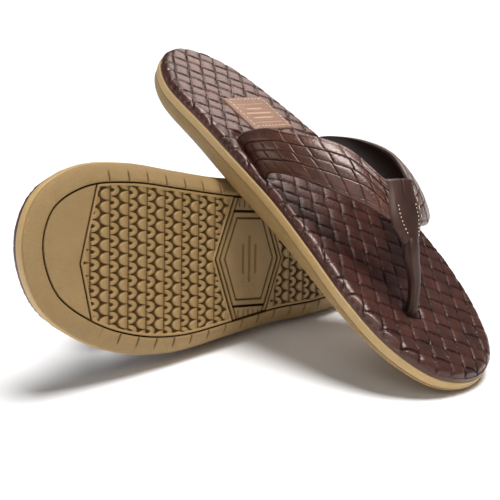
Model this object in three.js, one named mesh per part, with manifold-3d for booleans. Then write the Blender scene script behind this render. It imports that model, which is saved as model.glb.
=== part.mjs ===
// A pair of men's leather flip-flops, in millimetres, +Z up. One stands on its outer edge and the other
// leans on it. Each shoe is drawn as a right shoe lying flat, x towards the little toe, y towards the toes
// and z up from the tread, and the left one is its mirror image.
import * as THREE from 'three';
import { mergeVertices } from 'three/addons/utils/BufferGeometryUtils.js';
import Module from 'manifold-3d';

const wasm = await Module();
wasm.setup();

// Sole
const LENGTH = 290;
const FOREFOOT_WIDTH = 110;
const HEEL_WIDTH = 84;
const HEEL_HEIGHT = 17; // ground to the top of the rand
const WAIST_HEIGHT = 19;
const WAIST_Y = -0.07 * LENGTH; // where the sole is at its waist height
const TOE_HEIGHT = 9;
const RAND_HEIGHT = 5;
const RAND_THICKNESS = 3;
const GAP = 0.3; // between pieces that are cemented or sewn together
const FLAT_INSET = 7; // from the outline to where the tread starts to round up
const POCKET_INSET = 11; // from the outline to the rim of the tread pocket
const POCKET_DEPTH = 1.8;
const GROOVE = 1.4; // open groove between tread pods
const BOARD_THICKNESS = 1.2;

// Footbed
const FOAM_THICKNESS = 3;
const COVER_THICKNESS = 1.6;
const COVER_INSET = 1;
const COVER_WALL = 2.2;
const LABEL = { width: 37, length: 33, thickness: 1, x: 8, y: -70.5 };

// Tread pods: chevrons and the badge share a centre line and an angle
const BADGE = { x: 4.5, y: -15, margin: 21.5, sideHalf: 13, apex: 24 }; // margin is to the sole's side
const CHEVRON_SLOPE = 0.4;
const TOE_CHEVRON = { y: 110, slope: 0.25 };
const CHEVRON_MARGIN = 4; // from the badge's point to the chevron beside it

// Straps: upper and lining, each a strip between a rear and a front edge
const UPPER_THICKNESS = 1.6;
const LINING_THICKNESS = 1;
const STRAP_BULGE = 3;
const SLOT_CLEARANCE = 0.7;
const ROOT_RISE = 1.5; // how far a strap stands upright above the footbed's top
const TAB = { length: 32, width: 14, thickness: 1.5 };

// Throat and toe post
const POST = { x: -13, y: 95, radius: 3.4, topRadius: 4.6, core: 1.8, sleeveShare: 0.78 };
const POST_LEAD = 1.2; // from the throat piece's lower end to the top of the post
const THROAT_THICKNESS = 3.4;
const THROAT_CLEARANCE = 1.1; // from the throat's edge to the end of each strap
const ANCHOR = { radius: 9, thickness: 2 };
const BORE_CLEARANCE = 0.5;

// How the pair stands
const RIGHT_TURN = [-101.3, -44.8, 91.2];
const LEFT_TURN = [20.7, 26.5, -137.1];
const LEFT_OFFSET = [43.3, 15.4]; // from the right shoe's middle, before it is leaned on it
const LEAN_STEPS = 6;
const LEAN_INSET = 3.5; // the tread rounds up nearer to the outline than this

const SAMPLES = 40; // points round the outline, heel tip first, toe tip half way
const rubber = { color: 0x8f7344, roughness: 0.75, metalness: 0 };
const treadRubber = { color: 0x7c6238, roughness: 0.8, metalness: 0 };
const randRubber = { color: 0xb8995c, roughness: 0.6, metalness: 0 };
const foam = { color: 0x6b5a44, roughness: 0.95, metalness: 0 };
const board = { color: 0xa58a60, roughness: 0.9, metalness: 0 };
const darkLeather = { color: 0x3a211a, roughness: 0.4, metalness: 0 };
const liningLeather = { color: 0x1d1211, roughness: 0.55, metalness: 0 };
const tanLeather = { color: 0x8a5a3a, roughness: 0.55, metalness: 0 };
const webbing = { color: 0x1a1413, roughness: 0.9, metalness: 0 };

const clamp = (value, low, high) => Math.min(high, Math.max(low, value));
const mix = (a, b, t) => a + (b - a) * t;
const smooth = (low, high, value) => {
  const t = clamp((value - low) / (high - low), 0, 1);
  return t * t * (3 - 2 * t);
};

// ---- outline and heights ----

// Shares of the local half width and of the length, heel tip first, then up the outer side.
const OUTLINE = [
  [0, -0.5], [0.48, -0.472], [0.83, -0.403], [1.04, -0.276], [1.035, -0.138],
  [1.04, -0.007], [1.07, 0.133], [1.03, 0.25], [0.84, 0.366], [0.48, 0.463],
  [-0.09, 0.5], [-0.58, 0.469], [-0.86, 0.379], [-0.92, 0.259], [-0.87, 0.136],
  [-0.86, 0.014], [-0.93, -0.103], [-0.96, -0.241], [-0.905, -0.383], [-0.5, -0.472],
];

function halfWidth(share) {
  return mix(HEEL_WIDTH, FOREFOOT_WIDTH, smooth(-0.3, 0.15, share)) / 2;
}

const outlineCurve = new THREE.CatmullRomCurve3(
  OUTLINE.map(([u, v]) => new THREE.Vector3(u * halfWidth(v), v * LENGTH, 0)), true, 'centripetal');

// The outline moved inwards, as SAMPLES points in the plane.
function insetOutline(inset) {
  const points = [];
  for (let i = 0; i < SAMPLES; i += 1) {
    const t = i / SAMPLES;
    const p = outlineCurve.getPoint(t);
    const tangent = outlineCurve.getTangent(t);
    points.push(new THREE.Vector2(p.x - tangent.y * inset, p.y + tangent.x * inset));
  }
  return points;
}

// Height of the rand's top edge above the ground at a place along the shoe.
function randTop(y) {
  if (y < WAIST_Y) return mix(HEEL_HEIGHT, WAIST_HEIGHT, smooth(-0.38 * LENGTH, WAIST_Y, y));
  return mix(WAIST_HEIGHT, TOE_HEIGHT, smooth(WAIST_Y, 0.5 * LENGTH, y));
}

const outsoleTop = (y) => randTop(y) - RAND_HEIGHT - GAP;
const boardBottom = (y) => randTop(y) - BOARD_THICKNESS;
const foamBottom = (y) => randTop(y) + GAP;
const foamTop = (y) => foamBottom(y) + FOAM_THICKNESS;
const coverTop = (y) => foamTop(y) + GAP + COVER_THICKNESS;

// ---- solids ----

function geometryOf(points, faces) {
  const geometry = new THREE.BufferGeometry();
  geometry.setAttribute('position', new THREE.Float32BufferAttribute(points.flatMap((p) => [p.x, p.y, p.z]), 3));
  geometry.setIndex(faces.flat());
  return geometry;
}

// A closed body of rings that follow the outline: a cap inside the first ring, walls from ring to ring,
// and a cap inside the last. A ring is { inset, z(y) }. With `open`, the last ring joins the first instead.
function ringBody(rings, open = false) {
  const points = [];
  const faces = [];
  const half = SAMPLES / 2;
  for (const { inset, z } of rings) {
    for (const p of insetOutline(inset)) points.push(new THREE.Vector3(p.x, p.y, z(p.y)));
  }
  const wall = (low, high) => {
    for (let i = 0; i < SAMPLES; i += 1) {
      const j = (i + 1) % SAMPLES;
      faces.push([low + i, low + j, high + j], [low + i, high + j, high + i]);
    }
  };
  const cap = (first, up) => {
    for (let i = 0; i < half; i += 1) {
      const [a, b] = [first + i, first + i + 1];
      const [c, d] = [first + ((SAMPLES - i) % SAMPLES), first + SAMPLES - i - 1];
      const quad = i === 0 ? [[a, b, d]] : i === half - 1 ? [[a, b, c]] : [[a, b, c], [b, d, c]];
      for (const [p, q, r] of quad) faces.push(up ? [p, q, r] : [p, r, q]);
    }
  };
  for (let k = 0; k + 1 < rings.length; k += 1) wall(k * SAMPLES, (k + 1) * SAMPLES);
  if (open) {
    wall((rings.length - 1) * SAMPLES, 0);
  } else {
    cap(0, false);
    cap((rings.length - 1) * SAMPLES, true);
  }
  return geometryOf(points, faces);
}

// A closed sheet over a grid of points: `place(u, v, w)` gives a point, with w 0 on the inside and 1 outside.
function sheetBody(place, rows, columns) {
  const points = [];
  const faces = [];
  for (let w = 0; w < 2; w += 1) {
    for (let i = 0; i <= rows; i += 1) {
      for (let j = 0; j <= columns; j += 1) points.push(place(i / rows, j / columns, w));
    }
  }
  const layer = (rows + 1) * (columns + 1);
  const at = (i, j, w) => w * layer + i * (columns + 1) + j;
  const quad = (a, b, c, d) => faces.push([a, b, c], [a, c, d]);
  for (let i = 0; i < rows; i += 1) {
    for (let j = 0; j < columns; j += 1) {
      quad(at(i, j, 1), at(i + 1, j, 1), at(i + 1, j + 1, 1), at(i, j + 1, 1));
      quad(at(i, j, 0), at(i, j + 1, 0), at(i + 1, j + 1, 0), at(i + 1, j, 0));
    }
    quad(at(i, 0, 0), at(i + 1, 0, 0), at(i + 1, 0, 1), at(i, 0, 1));
    quad(at(i, columns, 0), at(i, columns, 1), at(i + 1, columns, 1), at(i + 1, columns, 0));
  }
  for (let j = 0; j < columns; j += 1) {
    quad(at(0, j, 0), at(0, j, 1), at(0, j + 1, 1), at(0, j + 1, 0));
    quad(at(rows, j, 0), at(rows, j + 1, 0), at(rows, j + 1, 1), at(rows, j, 1));
  }
  return geometryOf(points, faces);
}

// three's own solids repeat their vertices at every edge; here they are shared again.
function welded(geometry) {
  const bare = geometry.clone();
  bare.deleteAttribute('normal');
  bare.deleteAttribute('uv');
  return mergeVertices(bare, 1e-4);
}

function manifoldOf({ attributes, index }) {
  return new wasm.Manifold(new wasm.Mesh({
    numProp: 3,
    vertProperties: new Float32Array(attributes.position.array),
    triVerts: new Uint32Array(index.array),
  }));
}

function geometryFrom(solid) {
  const mesh = solid.getMesh();
  const geometry = new THREE.BufferGeometry();
  geometry.setAttribute('position', new THREE.BufferAttribute(new Float32Array(mesh.vertProperties), 3));
  geometry.setIndex(Array.from(mesh.triVerts));
  return geometry;
}

function cut(geometry, ...cutters) {
  let solid = manifoldOf(geometry);
  for (const cutter of cutters) solid = solid.subtract(manifoldOf(cutter));
  return geometryFrom(solid);
}

function common(geometry, cutter) {
  return geometryFrom(manifoldOf(geometry).intersect(manifoldOf(cutter)));
}

// An upright prism on a polygon of [x, y] corners.
function prism(corners, low, high) {
  const shape = new THREE.Shape(corners.map(([x, y]) => new THREE.Vector2(x, y)));
  const geometry = new THREE.ExtrudeGeometry(shape, { depth: high - low, bevelEnabled: false });
  return welded(geometry.translate(0, 0, low));
}

function uprightCylinder(x, y, radius, low, high) {
  const geometry = new THREE.CylinderGeometry(radius, radius, high - low, 16);
  return welded(geometry.rotateX(Math.PI / 2).translate(x, y, (low + high) / 2));
}

// ---- sole ----

function outsole() {
  const share = (part) => (y) => outsoleTop(y) * part;
  return ringBody([
    { inset: POCKET_INSET, z: () => POCKET_DEPTH },
    { inset: POCKET_INSET, z: () => 0 },
    { inset: FLAT_INSET, z: () => 0 },
    { inset: FLAT_INSET * 0.45, z: share(0.22) },
    { inset: FLAT_INSET * 0.16, z: share(0.6) },
    { inset: 0.8, z: outsoleTop },
  ]);
}

// The chevron line across the sole that points to the toes, at height `apex`.
const chevron = (apex, slope) => (x) => apex - slope * Math.abs(x - BADGE.x);

// All of the tread between two lines across the sole, less half a groove at each.
function podBetween(rear, front) {
  const reach = 0.55 * FOREFOOT_WIDTH;
  const row = (line, shift) => [-reach, BADGE.x, reach].map((x) => [x, line(x) + shift]);
  const zone = prism([...row(rear, GROOVE / 2), ...row(front, -GROOVE / 2).reverse()], -1, POCKET_DEPTH + 1);
  return common(podBlank(), zone);
}

function podBlank() {
  const inset = POCKET_INSET + GROOVE;
  return ringBody([{ inset, z: () => 0 }, { inset, z: () => POCKET_DEPTH - GAP }]);
}

const badgeFront = chevron(BADGE.y + BADGE.apex + CHEVRON_MARGIN, CHEVRON_SLOPE);
const badgeRear = chevron(BADGE.y - BADGE.apex - CHEVRON_MARGIN, -CHEVRON_SLOPE);
const toeChevron = chevron(TOE_CHEVRON.y, TOE_CHEVRON.slope);

function badgeCorners(grow) {
  const { x, y, margin, sideHalf, apex } = BADGE;
  const w = halfWidth(y / LENGTH) - margin;
  return [
    [x, y - apex - grow], [x + w + grow, y - sideHalf - grow / 2], [x + w + grow, y + sideHalf + grow / 2],
    [x, y + apex + grow], [x - w - grow, y + sideHalf + grow / 2], [x - w - grow, y - sideHalf - grow / 2],
  ];
}

function waistBadge() {
  return prism(badgeCorners(0), 0, POCKET_DEPTH - GAP);
}

function waistPad(side) {
  const far = LENGTH;
  const { x } = BADGE;
  const half = prism([[x, -far], [x + side * far, -far], [x + side * far, far], [x, far]], -1, POCKET_DEPTH + 1);
  const hole = prism(badgeCorners(GROOVE), -1, POCKET_DEPTH + 1);
  return cut(common(podBetween(badgeRear, badgeFront), half), hole);
}

function rand() {
  const low = (y) => outsoleTop(y) + GAP;
  return ringBody([
    { inset: RAND_THICKNESS, z: low }, { inset: 0.4, z: low }, { inset: 0, z: (y) => low(y) + 1 },
    { inset: 0, z: (y) => randTop(y) - 1 }, { inset: 0.6, z: randTop }, { inset: RAND_THICKNESS, z: randTop },
  ], true);
}

function midsole() {
  const inset = RAND_THICKNESS + GAP;
  const blank = ringBody([
    { inset, z: (y) => outsoleTop(y) + GAP }, { inset, z: (y) => boardBottom(y) - GAP },
  ]);
  const low = outsoleTop(POST.y) - 1;
  const seat = uprightCylinder(POST.x, POST.y, ANCHOR.radius + GAP, low, anchorTop() + GAP);
  return cut(blank, seat, postBore());
}

function insoleBoard() {
  const inset = RAND_THICKNESS + GAP;
  return cut(ringBody([{ inset, z: boardBottom }, { inset, z: randTop }]), postBore());
}

const anchorBottom = () => outsoleTop(POST.y - ANCHOR.radius) + GAP;
const anchorTop = () => anchorBottom() + ANCHOR.thickness;

function postBore() {
  const radius = POST.radius + BORE_CLEARANCE;
  return uprightCylinder(POST.x, POST.y, radius, anchorTop() - 1, coverTop(POST.y) + 5);
}

// ---- footbed ----

function footbedFoam() {
  const inset = COVER_INSET + COVER_WALL + GAP;
  const blank = ringBody([
    { inset, z: foamBottom }, { inset, z: (y) => foamTop(y) - 1 }, { inset: inset + 1, z: foamTop },
  ]);
  return cut(blank, postHole(), ...straps.flatMap((strap) => [slot(strap), tabRecess(strap)]));
}

function footbedCover() {
  const inner = COVER_INSET + COVER_WALL;
  const blank = ringBody([
    { inset: inner, z: (y) => foamTop(y) + GAP }, { inset: inner, z: foamBottom },
    { inset: COVER_INSET, z: foamBottom }, { inset: COVER_INSET - 0.4, z: (y) => foamBottom(y) + 1.6 },
    { inset: COVER_INSET + 0.4, z: (y) => coverTop(y) - 1.2 }, { inset: COVER_INSET + 2.4, z: coverTop },
  ]);
  return cut(blank, postHole(), ...straps.map(slot));
}

function heelLabel() {
  const { width, length, thickness, x, y } = LABEL;
  const box = new THREE.BoxGeometry(width, length, thickness, 1, 3, 1);
  const geometry = welded(box.translate(x, y, thickness / 2));
  const position = geometry.attributes.position;
  for (let i = 0; i < position.count; i += 1) {
    position.setZ(i, position.getZ(i) + coverTop(position.getY(i)) + GAP);
  }
  return geometry;
}

// ---- straps ----

// The two long edges of the throat piece, from its rear end down to the toe post.
const THROAT = {
  medial: [new THREE.Vector3(-15, 39.5, 64), new THREE.Vector3(-22, 72.5, 47)],
  lateral: [new THREE.Vector3(-1.5, 43.5, 66), new THREE.Vector3(-12.5, 75, 47)],
};
const THROAT_SHARE = 0.72; // how far down the throat the straps' front edges reach

// Each strap runs from its root in the footbed to the throat. Root points lie on the footbed's top.
const straps = [
  {
    name: 'medial', side: -1,
    root: [[-28, -50], [-37, -14]],
    rear: [[-33, -34, 43], [-33, -20, 51], [-28, -5, 59], [-20, 12, 63.5]],
    front: [[-40.5, 5, 39], [-38, 23, 46], [-33, 37, 49.5], [-27.5, 50, 52]],
  },
  {
    name: 'lateral', side: 1,
    root: [[38, -42], [45, -4]],
    rear: [[46, -27, 37], [45, -12, 44.5], [35, 6, 53], [17, 25, 61]],
    front: [[50.5, 14, 34], [45, 32, 41], [31, 50, 45], [12, 63, 48]],
  },
];

function edgeCurve(root, foot, middle, end) {
  const below = new THREE.Vector3(root[0], root[1], foot);
  const start = below.clone().setZ(coverTop(root[1]) + ROOT_RISE);
  return new THREE.CatmullRomCurve3([below, start, ...middle.map((p) => new THREE.Vector3(...p)), end]);
}

function strapSurface(strap) {
  const [top, bottom] = THROAT[strap.name];
  const shift = new THREE.Vector3(strap.side * THROAT_CLEARANCE, 0, 0);
  const foot = tabTop(strap) + GAP;
  const rear = edgeCurve(strap.root[0], foot, strap.rear, top.clone().add(shift));
  const front = edgeCurve(strap.root[1], foot, strap.front, top.clone().lerp(bottom, THROAT_SHARE).add(shift));
  const flat = (u, v) => rear.getPoint(u).lerp(front.getPoint(u), v);
  const normal = (u, v) => {
    const along = flat(clamp(u + 0.02, 0, 1), v).sub(flat(clamp(u - 0.02, 0, 1), v));
    const across = front.getPoint(u).sub(rear.getPoint(u));
    return along.cross(across).multiplyScalar(-strap.side).normalize();
  };
  return (u, v, lift) => {
    const bulge = STRAP_BULGE * 4 * v * (1 - v) * smooth(0, 0.4, u) * (1 - smooth(0.8, 1, u));
    return flat(u, v).addScaledVector(normal(u, v), bulge + lift);
  };
}

// One layer of a strap, between two lifts off the strap's middle surface.
function strapLayer(strap, low, high) {
  const surface = strapSurface(strap);
  const place = (u, v, w) => surface(u, strap.side > 0 ? 1 - v : v, w ? high : low);
  return sheetBody(place, 14, 4);
}

const strapUpper = (strap) => strapLayer(strap, GAP / 2, GAP / 2 + UPPER_THICKNESS);
const strapLining = (strap) => strapLayer(strap, -GAP / 2 - LINING_THICKNESS, -GAP / 2);

// The slot that a strap comes up through, as an upright prism along its root.
function slot({ root }) {
  const [a, b] = root.map(([x, y]) => new THREE.Vector2(x, y));
  const along = b.clone().sub(a).normalize();
  const across = new THREE.Vector2(-along.y, along.x);
  const half = UPPER_THICKNESS + GAP + SLOT_CLEARANCE;
  const end = SLOT_CLEARANCE;
  const corner = (p, s, t) => {
    const q = p.clone().addScaledVector(along, s * end).addScaledVector(across, t * half);
    return [q.x, q.y];
  };
  const low = foamBottom(a.y) - 1;
  return prism([corner(a, -1, 1), corner(a, -1, -1), corner(b, 1, -1), corner(b, 1, 1)], low, coverTop(b.y) + 9);
}

// The end of a strap, turned in under the foam and cemented to the board.
function tabCorners(strap, grow) {
  const [a, b] = strap.root.map(([x, y]) => new THREE.Vector2(x, y));
  const along = b.clone().sub(a).normalize();
  const inwards = new THREE.Vector2(-along.y, along.x).multiplyScalar(strap.side);
  const middle = a.clone().add(b).multiplyScalar(0.5).addScaledVector(inwards, TAB.width / 2 - 2);
  const corner = (s, t) => {
    const q = middle.clone().addScaledVector(along, s * (TAB.length / 2 + grow));
    q.addScaledVector(inwards, t * (TAB.width / 2 + grow));
    return [q.x, q.y];
  };
  const corners = [corner(-1, -1), corner(1, -1), corner(1, 1), corner(-1, 1)];
  return strap.side > 0 ? corners : corners.reverse();
}

// The board is highest at the waist, or else at one end of the strap's root.
function tabBottom({ root: [[, rear], [, front]] }) {
  return Math.max(...[rear, clamp(WAIST_Y, rear, front), front].map(foamBottom));
}

const tabTop = (strap) => tabBottom(strap) + TAB.thickness;

function strapTab(strap) {
  return prism(tabCorners(strap, 0), tabBottom(strap), tabTop(strap));
}

function tabRecess(strap) {
  return prism(tabCorners(strap, GAP), tabBottom(strap) - 3, tabTop(strap) + GAP);
}

function throatPiece() {
  const { medial, lateral } = THROAT;
  const outward = new THREE.Vector3(0, 0.45, 0.9).normalize();
  const place = (u, v, w) => {
    const p = lateral[0].clone().lerp(lateral[1], u).lerp(medial[0].clone().lerp(medial[1], u), v);
    const crown = 4 * v * (1 - v) * 1.4;
    return p.addScaledVector(outward, crown + (w - 0.5) * THROAT_THICKNESS);
  };
  return sheetBody(place, 4, 4);
}

// ---- toe post ----

// The middle line of the post, from under the throat piece down to the anchor.
function postCurve() {
  const z = coverTop(POST.y);
  const [throatTop, throatEnd] = [0, 1].map((k) => THROAT.medial[k].clone().lerp(THROAT.lateral[k], 0.5));
  const onwards = throatEnd.clone().sub(throatTop).normalize();
  return new THREE.CatmullRomCurve3([
    throatEnd.clone().addScaledVector(onwards, POST_LEAD),
    throatEnd.clone().addScaledVector(onwards, POST_LEAD + 5),
    new THREE.Vector3(POST.x, mix(throatEnd.y, POST.y, 0.7), mix(throatEnd.z, z, 0.55)),
    new THREE.Vector3(POST.x, POST.y - 1.6, z + 2),
    new THREE.Vector3(POST.x, POST.y, foamBottom(POST.y)),
    new THREE.Vector3(POST.x, POST.y, anchorTop() + GAP),
  ]);
}

// A round rod along the post down to the share `end` of its length, with a bore through it if one is given.
function postTube(end, radiusAt, bore = 0) {
  const sides = 12;
  const steps = 10;
  const path = postCurve();
  const place = (share, v, w) => {
    const u = share * end;
    const across = new THREE.Vector3(1, 0, 0);
    const forward = path.getTangentAt(u).cross(across).normalize();
    const r = w ? radiusAt(u) : bore;
    const angle = v * 2 * Math.PI;
    const p = path.getPointAt(u).addScaledVector(across, r * Math.cos(angle));
    return p.addScaledVector(forward, r * Math.sin(angle));
  };
  const points = [];
  const faces = [];
  const layers = bore ? [1, 0] : [1];
  for (const w of layers) {
    for (let i = 0; i <= steps; i += 1) {
      for (let j = 0; j < sides; j += 1) points.push(place(i / steps, j / sides, w));
    }
  }
  const layer = (steps + 1) * sides;
  const at = (i, j, inner) => inner * layer + i * sides + (j % sides);
  const quad = (a, b, c, d) => faces.push([a, b, c], [a, c, d]);
  for (let i = 0; i < steps; i += 1) {
    for (let j = 0; j < sides; j += 1) {
      quad(at(i, j, 0), at(i, j + 1, 0), at(i + 1, j + 1, 0), at(i + 1, j, 0));
      if (bore) quad(at(i, j, 1), at(i + 1, j, 1), at(i + 1, j + 1, 1), at(i, j + 1, 1));
    }
  }
  for (const [i, flip] of [[0, false], [steps, true]]) {
    if (bore) {
      for (let j = 0; j < sides; j += 1) {
        const ring = [at(i, j, 0), at(i, j, 1), at(i, j + 1, 1), at(i, j + 1, 0)];
        quad(...(flip ? ring.reverse() : ring));
      }
    } else {
      for (let j = 1; j + 1 < sides; j += 1) {
        const face = [at(i, 0, 0), at(i, j + 1, 0), at(i, j, 0)];
        faces.push(flip ? face.reverse() : face);
      }
    }
  }
  return geometryOf(points, faces);
}

const sleeveRadius = (u) => mix(POST.topRadius, POST.radius, smooth(0, POST.sleeveShare, u));

function postSleeve() {
  return postTube(POST.sleeveShare, sleeveRadius, POST.core + GAP);
}

function postCore() {
  return postTube(1, () => POST.core);
}

// The hole that the post comes up through in the footbed, which follows the post's slant.
function postHole() {
  return postTube(1, (u) => sleeveRadius(u) + BORE_CLEARANCE);
}

function postAnchor() {
  return uprightCylinder(POST.x, POST.y, ANCHOR.radius, anchorBottom(), anchorTop());
}

// ---- one shoe ----

function mirrored(geometry) {
  const copy = geometry.clone().scale(-1, 1, 1);
  const index = Array.from(copy.index.array);
  for (let i = 0; i < index.length; i += 3) [index[i], index[i + 1]] = [index[i + 1], index[i]];
  copy.setIndex(index);
  return copy;
}

function flipFlop(foot) {
  const shoe = new THREE.Group();
  const add = (name, geometry, look) => {
    const shape = foot === 'left' ? mirrored(geometry) : geometry;
    shape.computeVertexNormals();
    const mesh = new THREE.Mesh(shape, new THREE.MeshStandardMaterial(look));
    mesh.name = `${foot}_${name}`;
    shoe.add(mesh);
  };
  add('outsole', outsole(), rubber);
  add('toe_pad', podBetween(toeChevron, () => LENGTH), rubber);
  add('forefoot_tread', podBetween(badgeFront, toeChevron), treadRubber);
  add('waist_badge', waistBadge(), rubber);
  add('medial_waist_pad', waistPad(-1), rubber);
  add('lateral_waist_pad', waistPad(1), rubber);
  add('heel_tread', podBetween(() => -LENGTH, badgeRear), treadRubber);
  add('rand', rand(), randRubber);
  add('midsole', midsole(), foam);
  add('insole_board', insoleBoard(), board);
  add('footbed_foam', footbedFoam(), foam);
  add('footbed_cover', footbedCover(), darkLeather);
  add('heel_label', heelLabel(), tanLeather);
  for (const strap of straps) {
    add(`${strap.name}_strap_upper`, strapUpper(strap), darkLeather);
    add(`${strap.name}_strap_lining`, strapLining(strap), liningLeather);
    add(`${strap.name}_strap_tab`, strapTab(strap), liningLeather);
  }
  add('throat_piece', throatPiece(), darkLeather);
  add('toe_post_sleeve', postSleeve(), darkLeather);
  add('toe_post_core', postCore(), webbing);
  add('toe_post_anchor', postAnchor(), webbing);
  return shoe;
}

// ---- the pair as it stands ----

function turn(shoe, degrees) {
  shoe.rotation.set(...degrees.map((angle) => THREE.MathUtils.degToRad(angle)), 'XYZ');
}

function lowerToFloor(shoe) {
  shoe.updateMatrixWorld(true);
  shoe.position.z -= new THREE.Box3().setFromObject(shoe, true).min.z;
  shoe.updateMatrixWorld(true);
}

// How far the standing shoe reaches through the plane of the leaning shoe's tread.
function reachThroughTread(leaning, standing) {
  const edge = insetOutline(LEAN_INSET).map((p) => new THREE.Vector2(-p.x, p.y));
  const toLocal = leaning.matrixWorld.clone().invert();
  let deepest = -Infinity;
  standing.traverse((piece) => {
    if (!piece.isMesh) return;
    const { attributes, index } = piece.geometry;
    const corners = Array.from({ length: attributes.position.count }, (_, i) => new THREE.Vector3()
      .fromBufferAttribute(attributes.position, i).applyMatrix4(piece.matrixWorld).applyMatrix4(toLocal));
    for (let i = 0; i < index.count; i += 1) {
      const next = i % 3 === 2 ? i - 2 : i + 1;
      for (let share = 0; share < 1; share += 0.1) {
        const p = corners[index.array[i]].clone().lerp(corners[index.array[next]], share);
        if (inside(p, edge)) deepest = Math.max(deepest, p.z);
      }
    }
  });
  return deepest;
}

// Slides the leaning shoe level until its tread lies a clearance away from the standing shoe. What lies
// under the tread changes as it slides, so the step is repeated.
function leanOn(leaning, standing) {
  const normal = new THREE.Vector3(0, 0, 1).transformDirection(leaning.matrixWorld);
  for (let step = 0; step < LEAN_STEPS; step += 1) {
    leaning.position.y += (reachThroughTread(leaning, standing) + GAP) / normal.y;
    leaning.updateMatrixWorld(true);
  }
}

function inside(p, polygon) {
  let odd = false;
  polygon.forEach((a, i) => {
    const b = polygon[(i + 1) % polygon.length];
    if ((a.y > p.y) !== (b.y > p.y) && p.x < a.x + ((b.x - a.x) * (p.y - a.y)) / (b.y - a.y)) odd = !odd;
  });
  return odd;
}

const right = flipFlop('right');
const left = flipFlop('left');
turn(right, RIGHT_TURN);
turn(left, LEFT_TURN);
left.position.set(LEFT_OFFSET[0], LEFT_OFFSET[1], 0);
lowerToFloor(right);
lowerToFloor(left);
leanOn(left, right);

const group = new THREE.Group();
group.add(right, left);
group.updateMatrixWorld(true);
const box = new THREE.Box3().setFromObject(group, true);
for (const shoe of [right, left]) {
  shoe.position.x -= (box.min.x + box.max.x) / 2;
  shoe.position.y -= (box.min.y + box.max.y) / 2;
}
group.updateMatrixWorld(true);

export default group;
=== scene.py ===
"""A pair of leather flip-flops: one stands on its edge and shows its tread, the other leans on it.

Each visible piece is drawn once in shoe millimetres, as a right shoe lying flat with x towards the little
toe, y towards the toes and z up from the tread. The left shoe is its mirror image, and both are then
turned to where their CAD nodes are.
"""
import functools
import math

import bpy
import numpy as np
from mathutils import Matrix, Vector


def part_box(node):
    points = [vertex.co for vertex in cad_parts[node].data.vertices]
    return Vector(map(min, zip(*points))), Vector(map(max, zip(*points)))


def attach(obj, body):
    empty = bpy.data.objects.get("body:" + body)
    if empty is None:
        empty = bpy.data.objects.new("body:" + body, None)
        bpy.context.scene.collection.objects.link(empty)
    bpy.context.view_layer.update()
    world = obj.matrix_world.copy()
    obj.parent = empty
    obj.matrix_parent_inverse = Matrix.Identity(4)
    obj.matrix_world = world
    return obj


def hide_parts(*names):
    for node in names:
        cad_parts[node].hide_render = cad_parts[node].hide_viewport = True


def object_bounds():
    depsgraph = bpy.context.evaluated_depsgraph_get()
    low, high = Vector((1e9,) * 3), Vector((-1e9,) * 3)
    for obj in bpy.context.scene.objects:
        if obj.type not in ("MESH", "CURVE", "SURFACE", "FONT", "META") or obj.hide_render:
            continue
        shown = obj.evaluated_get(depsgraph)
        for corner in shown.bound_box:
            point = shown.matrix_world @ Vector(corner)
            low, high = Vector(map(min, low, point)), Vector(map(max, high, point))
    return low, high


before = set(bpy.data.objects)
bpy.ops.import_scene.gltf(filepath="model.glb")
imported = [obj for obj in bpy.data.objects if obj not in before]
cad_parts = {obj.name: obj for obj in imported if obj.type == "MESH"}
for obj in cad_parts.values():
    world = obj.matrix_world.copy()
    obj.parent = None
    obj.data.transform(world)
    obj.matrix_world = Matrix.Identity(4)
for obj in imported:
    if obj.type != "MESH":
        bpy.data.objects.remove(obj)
CAD_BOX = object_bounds()
MILLIMETRES = 1000  # in a metre

# Sole and footbed
LENGTH = 290
FOREFOOT_WIDTH = 110
HEEL_WIDTH = 84
HEEL_HEIGHT = 17
WAIST_HEIGHT = 19
TOE_HEIGHT = 9
WAIST_Y = -0.07 * LENGTH
RAND_HEIGHT = 5
GAP = 0.3
FOAM_THICKNESS = 3
COVER_THICKNESS = 1.6
POCKET_INSET = 11
POCKET_DEPTH = 1.8
GROOVE = 1.4
BADGE_X, BADGE_Y, BADGE_HALF, BADGE_SIDE, BADGE_APEX = 4.5, -15, 28, 13, 24
CHEVRON_SLOPE = 0.4
CHEVRON_MARGIN = 4
TOE_CHEVRON_Y, TOE_CHEVRON_SLOPE = 110, 0.25
LABEL = dict(x=8, y=-70.5, width=37, length=33)
COVER_ROLL = 5.2  # how far in the footbed's rounded edge reaches
EDGE_POINTS = 1600
EDGE_EASE = 8  # how many of them a corner of the outline is spread over
TIP_STEPS = 30  # rows of a grid in a narrow tip

# Relief
SCALE_PERIOD = 12.9  # fish-scale tread, along the shoe
SCALE_PITCH = 6.9  # and across it
SCALE_DEPTH = 1.3
SCALE_DRIFT = 0.175  # sideways shift of each row, as a share of the pitch
CUT_DEPTH = 0.8  # lines and bars sunk into the badge and the waist pads
WEAVE_STRIP = 9.9
WEAVE_ANGLE = math.radians(35)
WEAVE_DEPTH = 1.4
SIPE_PITCH = 14.0
SIPE_DEPTH = 0.9
SIPE_PAINTED_SHADE = 0.9  # painted shade in a sipe, from 0 to 1
BEVEL_START = math.radians(38)  # where the outsole's rounded side begins
BADGE_BARS = ((-5.2, 9.0, 1.0), (0.0, 14.0, 1.0), (5.2, 9.0, 1.0))  # place, half length and half thickness
LABEL_BARS = ((9.4, 12, 0.35), (4.6, 9, 0.8), (0, 11.5, 0.8), (-4.6, 7, 0.8), (-9.4, 12, 0.35))

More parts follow.
